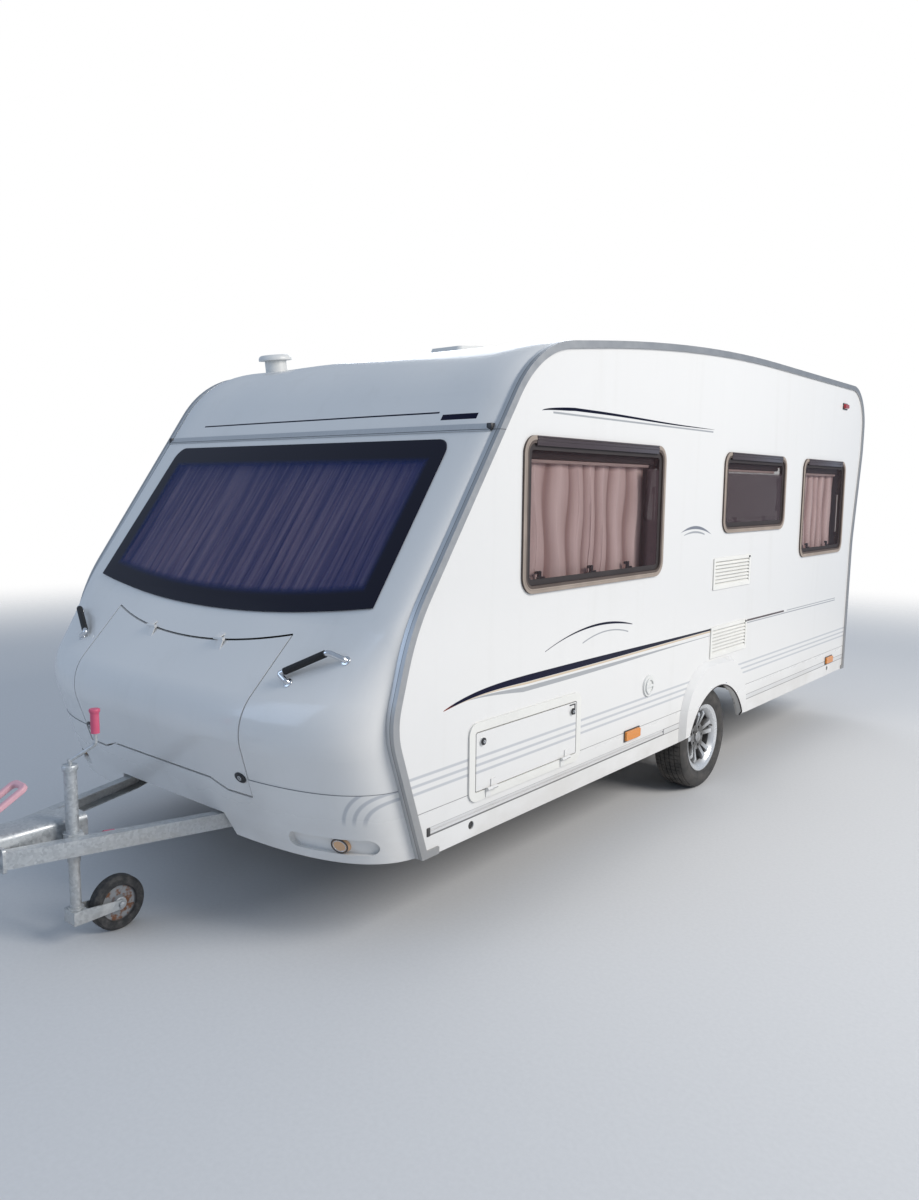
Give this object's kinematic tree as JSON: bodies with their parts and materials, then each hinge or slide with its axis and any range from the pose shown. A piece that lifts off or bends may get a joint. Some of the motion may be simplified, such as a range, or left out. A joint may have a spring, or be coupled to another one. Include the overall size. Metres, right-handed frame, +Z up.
{
  "type": "travel caravan",
  "caption": "Single-axle travel caravan with bulged front moulding, gas locker lid, jockey wheel, opening doors and lockers, and folding corner steadies",
  "frame": {"origin": "on the ground under the middle of the overall bounding box", "axes": "+Z up, -Y the way it is towed with the coupling foremost, +X its left side with the fridge vents"},
  "size_m": [2.3686, 6.6, 2.6003],
  "materials": {
    "body_shell": "gloss",
    "rail_alloy": "satin",
    "seal": "matte",
    "trim": "satin",
    "tinted_glass": "gloss",
    "curtain_cloth": "matte",
    "lens_amber": "gloss",
    "lens_red": "gloss",
    "black_plastic": "matte",
    "galvanised": "satin",
    "painted_steel": "satin",
    "rubber": "matte",
    "grip": "satin",
    "tyre": "matte",
    "alloy": "satin",
    "cast_iron": "matte",
    "board": "matte"
  },
  "bodies": {
    "caravan": {"front_panel": "body_shell", "front_lower_panel": "body_shell", "roof_cap": "body_shell", "roof_panel": "body_shell", "rear_panel": "body_shell", "side_wall_left": "body_shell", "side_wall_right": "body_shell", "skirts": "body_shell", "wheel_spats": "body_shell", "awning_rails": "rail_alloy", "curtain_rails": "rail_alloy", "hinges": "rail_alloy", "window_frames": "seal", "front_seam_strip": "trim", "water_inlet": "trim", "roof_fittings": "trim", "fridge_vents": "trim", "door_frames": "trim", "window_panes": "tinted_glass", "front_window": "tinted_glass", "curtains": "curtain_cloth", "front_lamps": "lens_amber", "side_markers": "lens_amber", "rear_lamps": "lens_red", "grab_handles": "black_plastic", "wheel_boxes": "black_plastic", "chassis_frame": "galvanised", "drawbar": "galvanised", "overrun_housing": "galvanised", "jockey_tube": "galvanised", "axle": "galvanised", "steady_frames": "galvanised", "coupling_head": "painted_steel", "shaft_gaiter": "rubber", "handle_grips": "grip", "floor_panel": "board", "gas_locker": "board"},
    "gas_lid": {"gas_locker_lid": "body_shell"},
    "door": {"entrance_door": "body_shell", "door_window_frame": "seal", "door_window_pane": "tinted_glass"},
    "side_locker": {"side_locker_door": "body_shell"},
    "cassette": {"cassette_door": "body_shell"},
    "wheel_l": {"tyre_left": "tyre", "rim_left": "alloy", "drum_left": "cast_iron"},
    "wheel_r": {"tyre_right": "tyre", "rim_right": "alloy", "drum_right": "cast_iron"},
    "jockey_stem": {"jockey_inner_tube": "galvanised"},
    "jockey_swivel": {"jockey_fork": "galvanised"},
    "jockey_roller": {"jockey_wheel": "rubber"},
    "strut_front_left": {"steady_strut_front_left": "galvanised"},
    "leg_front_left": {"steady_leg_front_left": "galvanised"},
    "strut_front_right": {"steady_strut_front_right": "galvanised"},
    "leg_front_right": {"steady_leg_front_right": "galvanised"},
    "strut_rear_left": {"steady_strut_rear_left": "galvanised"},
    "leg_rear_left": {"steady_leg_rear_left": "galvanised"},
    "strut_rear_right": {"steady_strut_rear_right": "galvanised"},
    "leg_rear_right": {"steady_leg_rear_right": "galvanised"}
  },
  "joints": [
    {"name": "wheel_left_spin", "type": "hinge", "parent": "caravan", "child": "wheel_l", "pos_m": [1.0375, 0.67, 0.298], "axis": [1, 0, 0], "continuous": true},
    {"name": "wheel_right_spin", "type": "hinge", "parent": "caravan", "child": "wheel_r", "pos_m": [-1.0375, 0.67, 0.298], "axis": [1, 0, 0], "continuous": true},
    {"name": "jockey_height", "type": "slide", "parent": "caravan", "child": "jockey_stem", "axis": [0, 0, 1], "range_m": [0, 0.15]},
    {"name": "jockey_castor", "type": "hinge", "parent": "jockey_stem", "child": "jockey_swivel", "pos_m": [0.125, -2.645, 0.12], "axis": [0, 0, 1], "continuous": true},
    {"name": "jockey_roll", "type": "hinge", "parent": "jockey_swivel", "child": "jockey_roller", "pos_m": [0.125, -2.48, 0.108], "axis": [1, 0, 0], "continuous": true},
    {"name": "gas_lid_hinge", "type": "hinge", "parent": "caravan", "child": "gas_lid", "pos_m": [0, -2.062, 1.125], "axis": [-1, 0, 0], "range_deg": [0, 80]},
    {"name": "door_hinge", "type": "hinge", "parent": "caravan", "child": "door", "pos_m": [-1.166, 1.2925, 1.4], "axis": [0, 0, 1], "range_deg": [0, 110]},
    {"name": "side_locker_hinge", "type": "hinge", "parent": "caravan", "child": "side_locker", "pos_m": [1.168, -1.145, 0.5375], "axis": [0, 1, 0], "range_deg": [0, 140]},
    {"name": "cassette_hinge", "type": "hinge", "parent": "caravan", "child": "cassette", "pos_m": [-1.168, 2.535, 0.6625], "axis": [0, -1, 0], "range_deg": [0, 140]},
    {"name": "steady_front_left", "type": "hinge", "parent": "caravan", "child": "strut_front_left", "pos_m": [1.085, -1.527, 0.385], "axis": [0, -1, 0], "range_deg": [0, 65]},
    {"name": "steady_knee_front_left", "type": "hinge", "parent": "strut_front_left", "child": "leg_front_left", "pos_m": [0.89, -1.527, 0.385], "axis": [0, 1, 0], "range_deg": [0, 130]},
    {"name": "steady_front_right", "type": "hinge", "parent": "caravan", "child": "strut_front_right", "pos_m": [-1.085, -1.527, 0.385], "axis": [0, 1, 0], "range_deg": [0, 65]},
    {"name": "steady_knee_front_right", "type": "hinge", "parent": "strut_front_right", "child": "leg_front_right", "pos_m": [-0.89, -1.527, 0.385], "axis": [0, -1, 0], "range_deg": [0, 130]},
    {"name": "steady_rear_left", "type": "hinge", "parent": "caravan", "child": "strut_rear_left", "pos_m": [1.085, 2.75, 0.385], "axis": [0, -1, 0], "range_deg": [0, 65]},
    {"name": "steady_knee_rear_left", "type": "hinge", "parent": "strut_rear_left", "child": "leg_rear_left", "pos_m": [0.89, 2.75, 0.385], "axis": [0, 1, 0], "range_deg": [0, 130]},
    {"name": "steady_rear_right", "type": "hinge", "parent": "caravan", "child": "strut_rear_right", "pos_m": [-1.085, 2.75, 0.385], "axis": [0, 1, 0], "range_deg": [0, 65]},
    {"name": "steady_knee_rear_right", "type": "hinge", "parent": "strut_rear_right", "child": "leg_rear_right", "pos_m": [-0.89, 2.75, 0.385], "axis": [0, -1, 0], "range_deg": [0, 130]}
  ],
  "couplings": [
    {"joint": "steady_knee_front_left", "follows": "steady_front_left", "ratio": 2},
    {"joint": "steady_knee_front_right", "follows": "steady_front_right", "ratio": 2},
    {"joint": "steady_knee_rear_left", "follows": "steady_rear_left", "ratio": 2},
    {"joint": "steady_knee_rear_right", "follows": "steady_rear_right", "ratio": 2}
  ]
}
